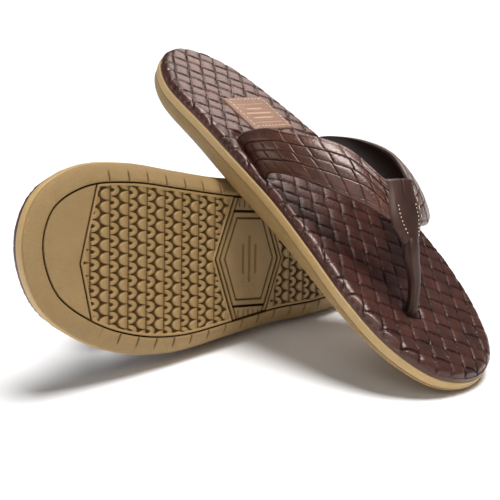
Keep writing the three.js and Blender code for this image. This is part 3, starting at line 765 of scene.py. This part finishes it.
def waist_pad_shape(side):
    """The pad between the badge and one side of the sole, from chevron to chevron."""
    inset = POCKET_INSET + GROOVE
    inner, outer, _, _ = sides_of(inset)
    far = outer if side > 0 else inner
    half = GROOVE / 2
    apex = BADGE_APEX + GROOVE
    count = 70
    corner = (BADGE_HALF + GROOVE, BADGE_SIDE + half)

    def meet(line, shift):
        y = BADGE_Y
        for _ in range(20):
            y = line(far(y)) + shift
        return y

    def leg(a, b):
        t = np.linspace(0, 1, count, endpoint=False)[:, None]
        return mix(np.array(a), np.array(b), t)

    cross, rear_cross = meet(badge_front, -half), meet(badge_rear, half)
    near = np.vstack([
        leg((0, apex), corner), leg(corner, (corner[0], -corner[1])),
        leg((corner[0], -corner[1]), (0, -apex)), [(0, -apex)]])
    near = near * [side, 1] + [BADGE_X, BADGE_Y]
    y = np.linspace(cross, rear_cross, count, endpoint=False)
    x_front = np.linspace(BADGE_X, far(cross), count, endpoint=False)
    x_rear = np.linspace(far(rear_cross), BADGE_X, count + 1)
    away = np.vstack([
        np.column_stack([x_front, badge_front(x_front) - half]), np.column_stack([far(y), y]),
        np.column_stack([x_rear, badge_rear(x_rear) + half])])
    v = np.linspace(0, 1, 34)[:, None, None]
    grid = mix(near[None], away[None], v)
    x, y = grid[..., 0], grid[..., 1]
    edge = np.minimum(-hexagon(x, y) - GROOVE * 0.6, from_edge(x, y, inset))
    edge = np.minimum(edge, np.minimum(badge_front(x) - half - y, y - badge_rear(x) - half) * 0.93)
    past = np.abs(x - BADGE_X) - BADGE_HALF - GROOVE
    chevrons = np.minimum(badge_front(x) - y, y - badge_rear(x)) * 0.93
    ribs = bump((y % 4.2) - 2.1, 0.7) * smooth(7.5, 6.5, past) * smooth(1.2, 2.0, past)
    ribs = ribs * smooth(4.2, 5.0, chevrons)
    second = bump(chevrons - 3.3, 1.0) * smooth(-6, -3, past)
    return cut_block(x, y, edge, np.maximum(ribs, second))


def rand_shape():
    """The pale band between the outsole and the footbed."""
    def up(share):
        return lambda y: outsole_top(y) + GAP + RAND_HEIGHT * share
    outer = [(1.3, -0.04), (0.85, -0.03), (0.6, 0.03), (0.48, 0.12), (0.36, 0.3), (0.3, 0.6), (0.36, 0.8),
             (0.5, 0.92), (0.8, 0.985), (1.3, 1.0)]
    profile = [(inset, up(share)) for inset, share in [(3, 0.0), *outer, (3, 1.0)]]
    # Painted shade at the gaps along the rand's lower and upper edges.
    relief = [1, 0.5, 0.12, 0, 0, 0, 0, 0, 0, 0.1, 0.5, 1]
    return ring_shape(profile, closed=True, relief=relief)


# ---- footbed ----

def weave(x, y):
    """A plain weave of wide soft strips: its height, and how near the side of a strip is, from 0 to 1."""
    c, s = math.cos(WEAVE_ANGLE), math.sin(WEAVE_ANGLE)
    a, b = (x * c + y * s) / WEAVE_STRIP, (-x * s + y * c) / WEAVE_STRIP
    over = (np.floor(a) + np.floor(b)) % 2 < 1
    along = np.where(over, a % 1, b % 1) * 2 - 1
    side = np.where(over, b % 1, a % 1) * 2 - 1
    arch = np.sqrt(np.clip(1 - np.abs(along) ** 3.2, 0, 1))
    edge = np.clip((np.abs(side) - 0.8) / 0.2, 0, 1)
    height = arch * (0.86 + 0.14 * np.sqrt(1 - edge**2)) * (0.93 + 0.07 * (1 - side**2))
    return height, smooth(0.0, 0.4, edge)


def cover_shape():
    """The woven pad: its top, rolled over the edge, down to the rand."""
    inset = 1.0
    x, y = deck(inset, 0.72)
    edge = from_edge(x, y, inset)
    edge[:, 0] = edge[:, -1] = 0
    t = np.clip(1 - edge / COVER_ROLL, 0, 1)
    drop = (FOAM_THICKNESS + COVER_THICKNESS - 0.4) * (1 - np.sqrt(np.clip(1 - t**2.2, 0, 1)))
    height, side = weave(x, y)
    hole = np.hypot(x - POST["x"], y - POST["y"])
    for spec in STRAPS.values():
        (x0, y0), (x1, y1) = spec["root"]
        share = np.clip(((x - x0) * (x1 - x0) + (y - y0) * (y1 - y0)) / ((x1 - x0)**2 + (y1 - y0)**2), 0, 1)
        hole = np.minimum(hole, np.hypot(x - mix(x0, x1, share), y - mix(y0, y1, share)) + 2)
    pull = smooth(9, 3.5, hole)
    lift = WEAVE_DEPTH * (height - 0.62) * (1 - smooth(0.6, 1, t)) * (1 - 0.6 * pull)
    z = cover_top(y) - drop + lift - 1.6 * pull
    shape = block(x, y, z, lambda y: rand_top(y) + GAP)
    # Painted shade where a strip dives under the next and along the strips' sides, fading out on the rolled
    # edge, and around the holes where the cover is pulled in.
    line = np.maximum(smooth(0.5, 0.05, height) * 0.9, side * 0.75) * (1 - smooth(0.8, 1, t))
    shape.relief[:x.size] = np.clip(line + 0.5 * pull, 0, 1).ravel()
    return shape


def label_shape():
    """The leather patch with a sunk seam round it and plain bars."""
    x = LABEL["x"] + np.linspace(-1, 1, 121) * LABEL["width"] / 2
    y = LABEL["y"] + np.linspace(-1, 1, 101) * LABEL["length"] / 2
    y, x = np.meshgrid(y, x, indexing="ij")
    dx, dy = x - LABEL["x"], y - LABEL["y"]
    edge = np.minimum(LABEL["width"] / 2 - np.abs(dx), LABEL["length"] / 2 - np.abs(dy))
    seam = bump(edge - SEAM_INSET, 0.9) * 0.5
    bars = bars_of(dx, dy, LABEL_BARS, 0.4)
    relief = np.maximum(seam, bars)
    z = cover_top(y) + GAP + 1.2 - lip(edge, 0.8) - relief * 0.35
    shape = block(x, y, z, lambda y: cover_top(y) + GAP - 1.0)
    shape.relief[:x.size] = (np.maximum(seam * 0.5, bars * 0.75) + 0.4 * bump(edge, 0.6)).clip(0, 1).ravel()
    return shape


def label_stitches():
    """A row of stitches along each side of the label."""
    half = np.array([LABEL["width"], LABEL["length"]]) / 2 - SEAM_INSET
    corners = np.array([(-1, -1), (1, -1), (1, 1), (-1, 1), (-1, -1)]) * half + [LABEL["x"], LABEL["y"]]
    rows = []
    for a, b in zip(corners[:-1], corners[1:]):
        line = mix(a, b, np.linspace(0, 1, 40)[:, None])
        line = np.column_stack([line, cover_top(line[:, 1]) + GAP + 1.1])
        lift = np.tile([0, 0, 1.0], (len(line), 1))
        rows.append(stitches(line, lift, length=2.3, gap=1.0, radius=0.45))
    return join_all(rows)


# ---- straps ----

def strap_edges(name, u):
    """The rear and the front edge of a strap at the shares u from its root to the throat."""
    spec = STRAPS[name]
    top, bottom = (np.array(p, float) for p in (THROAT_MEDIAL if spec["side"] < 0 else THROAT_LATERAL))
    shift = np.array([spec["side"] * THROAT_CLEARANCE, 0, 0])
    ends = [top + shift, mix(top, bottom, THROAT_SHARE) + shift]
    lines = []
    for (x, y), middle, end in zip(spec["root"], (spec["rear"], spec["front"]), ends):
        base = float(cover_top(np.array(float(y))))
        knots = [(x, y, base - 3.2), (x, y, base + ROOT_RISE), *middle, tuple(end)]
        lines.append(catmull(knots, u))
    return lines


def strap_surface(name, u, v, lift):
    """Points on a strap at shares along and across it, a lift off its middle surface."""
    side = STRAPS[name]["side"]
    ends = strap_edges(name, u)
    flat = mix(ends[0], ends[1], v[..., None])
    step = 0.02
    low, high = np.clip(u - step, 0, 1), np.clip(u + step, 0, 1)
    before, after = strap_edges(name, low), strap_edges(name, high)
    along = mix(after[0], after[1], v[..., None]) - mix(before[0], before[1], v[..., None])
    normal = np.cross(along, ends[1] - ends[0]) * -side
    normal /= np.linalg.norm(normal, axis=-1, keepdims=True)
    arch = STRAP_ARCH * 4 * v * (1 - v) * smooth(0, 0.4, u) * (1 - smooth(0.8, 1, u))
    return flat + normal * (arch + lift)[..., None], normal


SEAMS = (0.27, 0.68)
BANDS = (0.0, 0.27, 0.475, 0.68, 1.0)
TILES = ((11.0, 2.6, 0.3), (11.0, 2.0, 0.75), (11.0, 3.4, 0.75), (11.0, 3.0, 0.4))  # pitch, shift and depth


def strap_grid(name, rows, columns):
    """Shares along and across a strap, and both again in millimetres."""
    u = np.linspace(0, 1, rows)
    v = np.linspace(0, 1, columns)
    v = mix(v, 0.5 - 0.5 * np.cos(v * math.pi), 0.35)
    u, v = np.meshgrid(u, v, indexing="ij")
    rear, front = strap_edges(name, u[:, 0])
    middle = mix(rear, front, 0.5)
    run = np.concatenate([[0], np.cumsum(np.linalg.norm(np.diff(middle, axis=0), axis=1))])
    width = np.linalg.norm(front - rear, axis=1)
    return u, v, run[:, None] + 0 * v, v * width[:, None], width[:, None] + 0 * v


def strap_emboss(along, v, across, width):
    """Sunk lines between the tiles of the embossed leather, from 0 to 1, and the tiles' soft swelling."""
    sunk, swell = np.zeros_like(v), np.zeros_like(v)
    for k, (pitch, shift, deep) in enumerate(TILES):
        low, high = BANDS[k] * width, BANDS[k + 1] * width
        inside = (across >= low) & (across <= high)
        near = np.minimum(across - low, high - across)
        wander = 0.5 * np.sin(across * 0.2 + k * 2.0) + 0.25 * np.sin(along * 0.5)
        phase = (along + shift + wander) % pitch
        line = np.minimum(phase, pitch - phase)
        sunk = np.where(inside, np.maximum(sunk, bump(line, 0.6) * deep), sunk)
        swell = np.where(inside, 1 - np.exp(-np.minimum(near, line) / 1.1), swell)
    for edge in BANDS[1:-1]:
        deep = 0.9 if edge in SEAMS else 0.5
        sunk = np.maximum(sunk, bump(across - edge * width, 0.6) * deep)
    return sunk, swell


def strap_upper_shape(name):
    """The embossed leather of a strap, with rounded edges."""
    u, v, along, across, width = strap_grid(name, 300, 110)
    sunk, swell = strap_emboss(along, v, across, width)
    rim = np.clip(1 - np.minimum(across, width - across) / 1.3, 0, 1)
    fold = bump(np.minimum(across, width - across) - 3.0, 0.8) * 0.35
    thick = UPPER_BASE + (UPPER_THICKNESS + UPPER_SWELL * swell) * np.sqrt(1 - rim**2)
    sunk = np.maximum(sunk, fold)
    outer, _ = strap_surface(name, u, v, thick - EMBOSS_DEPTH * sunk * (1 - rim))
    inner, _ = strap_surface(name, u, v, np.full_like(u, UPPER_BASE))
    # Painted shade in the sunk lines, the seams and the fold along the edges.
    return sheet(outer, inner, np.clip(sunk * 0.75, 0, 1))


def strap_lining_shape(name):
    """The smooth leather under a strap."""
    u, v, _, across, width = strap_grid(name, 120, 40)
    rim = np.clip(1 - np.minimum(across, width - across) / 0.9, 0, 1)
    outer, _ = strap_surface(name, u, v, np.full_like(u, -LINING_GAP))
    inner, _ = strap_surface(name, u, v, -LINING_GAP - LINING_THICKNESS * np.sqrt(1 - rim**2))
    return sheet(outer, inner, np.zeros_like(u))


def strap_stitches(name):
    """A row of stitches on each side of every lengthwise seam."""
    rows = []
    for seam in SEAMS:
        for shift in (-1.7, 1.7):
            u = np.linspace(0.2, 0.95, 160)
            rear, front = strap_edges(name, u)
            v = seam + shift / np.linalg.norm(front - rear, axis=1)
            line, normal = strap_surface(name, u, v, np.full_like(u, 1.4))
            rows.append(stitches(line, normal, length=2.0, gap=1.0, radius=0.26))
    return join_all(rows)


def throat_share(u, v):
    """Where a line at share v lies between the throat's edges: it bellies out, then narrows to the post."""
    belly = 0.5 * smooth(0.1, 0.6, u) * (1 - smooth(0.6, 1, u))
    taper = 0.25 * smooth(0.7, 1, u)
    return 0.5 + (v - 0.5) * (1.36 + belly - taper)


def throat_middle(u, v):
    """Points of the throat piece's middle surface at the shares u down it and v across it."""
    lateral = mix(*np.array(THROAT_LATERAL, float), u[..., None])
    medial = mix(*np.array(THROAT_MEDIAL, float), u[..., None])
    return mix(lateral, medial, throat_share(u, v)[..., None])


def throat_crown(v):
    """How far the throat piece swells at a share across it."""
    return 2.2 * (4 * v * (1 - v)) ** 0.7


def throat_shape():
    """The smooth piece where the straps meet, a little wider than the gap it covers."""
    u, v = np.meshgrid(np.linspace(0, 1, 90), np.linspace(0, 1, 60), indexing="ij")
    flat = throat_middle(u, v)
    rim = np.clip(1 - np.minimum(v, 1 - v) / 0.14, 0, 1)
    tip = np.clip(1 - np.minimum(u, 1 - u) / 0.05, 0, 1)
    thick = (1.5 + throat_crown(v)) * np.sqrt(1 - rim**2 * 0.9) * np.sqrt(1 - tip**2 * 0.85)
    crease = 0.3 * bump(v - 0.5 - 0.06 * np.sin(u * 7), 0.05) * smooth(0.5, 0, u)
    outer = flat + THROAT_OUTWARD * (thick - crease)[..., None]
    inner = flat - THROAT_OUTWARD * (1.7 * np.sqrt(1 - rim**2 * 0.9))[..., None]
    # Painted shade in the crease.
    return sheet(outer, inner, np.clip(crease * 2, 0, 1))


def throat_stitches():
    """Two rows of stitches down the lower half of the throat piece."""
    rows = []
    for v in (0.2, 0.8):
        line = throat_middle(np.linspace(0.4, 0.9, 60), v) + THROAT_OUTWARD * (1.6 + throat_crown(v))
        lift = np.tile(THROAT_OUTWARD, (len(line), 1))
        rows.append(stitches(line, lift, length=1.0, gap=1.3, radius=0.3))
    return join_all(rows)


def lateral_stitches():
    """Long stitches across the end of the outer strap, beside the throat piece."""
    v = np.linspace(0.12, 0.94, 60)
    line, normal = strap_surface("lateral", np.full_like(v, 0.93), v, np.full_like(v, 1.45))
    return stitches(line, normal, length=3.6, gap=1.6, radius=0.3)


def post_path(count):
    """Even points down the middle of the post, from inside the throat piece into the footbed."""
    z = float(cover_top(np.array(float(POST["y"]))))
    top = (np.array(THROAT_MEDIAL[0], float) + THROAT_LATERAL[0]) / 2
    end = (np.array(THROAT_MEDIAL[1], float) + THROAT_LATERAL[1]) / 2
    onwards = (end - top) / np.linalg.norm(end - top)
    foot = np.array((POST["x"], POST["y"], z))
    bend = np.array((POST["x"], mix(end[1], POST["y"], 0.7), mix(end[2], z, 0.55)))
    knots = [end - onwards * 2.5, end + onwards * 1.2, mix(end + onwards * 6.2, mix(end, foot, 0.25), 0.45),
             mix(bend, mix(end, foot, 0.6), 0.45), foot - (0, 0.8, -1), foot - (0, 0, 4.5)]
    return by_length(catmull(knots, np.linspace(0, 1, 400)), count)


def post_shape():
    """The rolled leather post with lengthwise folds."""
    steps = 90
    share = np.linspace(0, 1, steps)
    radius = mix(POST["top"], POST["radius"], smooth(0, 0.8, share))

    def folds(angle, at):
        return (-0.38 * bump((angle - 0.9 - 0.25 * at) % (2 * math.pi) - 0.15, 0.2)
                - 0.22 * bump((angle - 3.4) % (2 * math.pi) - 0.2, 0.3)
                + 0.10 * np.sin(angle * 5 + at * 4))
    return tube(post_path(steps), radius, sides=64, squash=0.92, wrinkle=folds)


# ---- the pair ----

def both(name, shape, look, stands_for=(), crease=40):
    """The same piece on each shoe, in the given look."""
    return [add_piece(foot, name, shape, LOOKS[look], stands_for, crease) for foot in SIDE]


TREAD_INSET = POCKET_INSET + 0.9
both("outsole", outsole_shape(), "outsole_rubber", ["outsole"])
both("toe_pad", pod(TREAD_INSET, 0.6, toe_chevron, None, plain_depth), "outsole_rubber", ["toe_pad"])
both("forefoot_tread", pod(TREAD_INSET, 0.42, badge_front, toe_chevron, tread_depth), "tread_rubber",
     ["forefoot_tread"])
both("heel_tread", pod(TREAD_INSET, 0.42, None, badge_rear, tread_depth), "tread_rubber", ["heel_tread"])
both("waist_badge", badge_shape(), "outsole_rubber", ["waist_badge"])
both("medial_waist_pad", waist_pad_shape(-1), "outsole_rubber", ["medial_waist_pad"])
both("lateral_waist_pad", waist_pad_shape(1), "outsole_rubber", ["lateral_waist_pad"])
both("rand", rand_shape(), "rand_rubber", ["rand"])
for pad in both("footbed_cover", cover_shape(), "footbed_leather", ["footbed_cover", "footbed_foam"], 80):
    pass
both("heel_label", label_shape(), "label_leather", ["heel_label"])
both("label_stitches", label_stitches(), "thread_cream")
for strap in STRAPS:
    both(f"{strap}_strap_upper", strap_upper_shape(strap), "strap_leather", [f"{strap}_strap_upper"], 60)
    both(f"{strap}_strap_lining", strap_lining_shape(strap), "lining_leather", [f"{strap}_strap_lining"], 60)
    both(f"{strap}_strap_stitches", strap_stitches(strap), "thread_brown")
both("lateral_strap_end_stitches", lateral_stitches(), "thread_cream")
both("throat_piece", throat_shape(), "post_leather", ["throat_piece"], 60)
both("throat_stitches", throat_stitches(), "thread_cream")
both("toe_post", post_shape(), "post_leather", ["toe_post_sleeve"], 60)

HIDDEN = {"midsole": "foam", "insole_board": "board", "medial_strap_tab": "tab_leather",
          "lateral_strap_tab": "tab_leather", "toe_post_core": "webbing", "toe_post_anchor": "webbing"}
for foot in SIDE:
    for node_name, look_name in HIDDEN.items():
        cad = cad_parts[f"{foot}_{node_name}"]
        cad.data.materials.clear()
        cad.data.materials.append(HIDDEN_LOOKS[look_name])


# ---- stage ----

def stage_floor():
    """A wide pale floor that rises a little far away, so that a low view meets no horizon."""
    corners = ((-1, -1), (1, -1), (1, 1), (-1, 1))
    points = [(x * FLOOR["level"], y * FLOOR["level"], 0) for x, y in corners]
    points += [(x * FLOOR["reach"], y * FLOOR["reach"], FLOOR["rise"]) for x, y in corners]
    slopes = [(k, k + 4, (k + 1) % 4 + 4, (k + 1) % 4) for k in range(4)]
    mesh = bpy.data.meshes.new("floor")
    mesh.from_pydata(points, [], [(0, 1, 2, 3), *slopes])
    floor = new_object("floor", mesh)
    material = bpy.data.materials.new("floor")
    material.use_nodes = True
    surface = material.node_tree.nodes["Principled BSDF"]
    surface.inputs["Base Color"].default_value = (FLOOR["grey"], FLOOR["grey"], FLOOR["grey"], 1)
    surface.inputs["Roughness"].default_value = 0.9
    surface.inputs["Specular IOR Level"].default_value = 0.1
    mesh.materials.append(material)


def shine_from(lamp, away):
    """Turns a light so that it shines from the direction `away`."""
    length = math.sqrt(sum(c * c for c in away))
    lamp.rotation_euler = (math.acos(away[2] / length), 0, math.atan2(away[0], -away[1]))


def soft_sun(name, away, spread_angle, power):
    """A soft light from the direction `away`."""
    light = bpy.data.lights.new(name, "SUN")
    light.angle = math.radians(spread_angle)
    light.energy = power
    lamp = new_object(name, light)
    shine_from(lamp, away)


def heel_panel():
    """A small soft panel behind the pair that picks out the raised heel."""
    light = bpy.data.lights.new("panel", "AREA")
    light.size = PANEL["size"]
    light.energy = PANEL["power"]
    light.color = PANEL["colour"]
    lamp = new_object("panel", light)
    lamp.location = PANEL["place"]
    shine_from(lamp, [a - b for a, b in zip(PANEL["place"], PANEL["target"])])


def light_the_stage():
    """A dim white world, the suns and the panel."""
    scene = bpy.context.scene
    world = bpy.data.worlds.new("studio")
    scene.world = world
    world.use_nodes = True
    world.node_tree.nodes["Background"].inputs["Color"].default_value = (1, 1, 1, 1)
    world.node_tree.nodes["Background"].inputs["Strength"].default_value = WORLD_STRENGTH
    for name, (away, spread_angle, power) in SUNS.items():
        soft_sun(name, away, spread_angle, power)
    heel_panel()
    scene.view_settings.view_transform = "Standard"


def aim_camera():
    """The camera, placed from the middle of the pair and the floor."""
    centre = (np.array(CAD_BOX[0]) + np.array(CAD_BOX[1])) / 2
    data = bpy.data.cameras.new("camera")
    data.lens = CAMERA["lens"]
    data.sensor_width = 36
    data.clip_start = 0.05
    camera = new_object("camera", data)
    x, y, z = (CAMERA[axis] / MILLIMETRES for axis in "xyz")
    camera.location = (centre[0] + x, centre[1] + y, z)
    camera.rotation_euler = (math.radians(CAMERA["tilt"]), 0, 0)
    bpy.context.scene.camera = camera


stage_floor()
light_the_stage()
aim_camera()
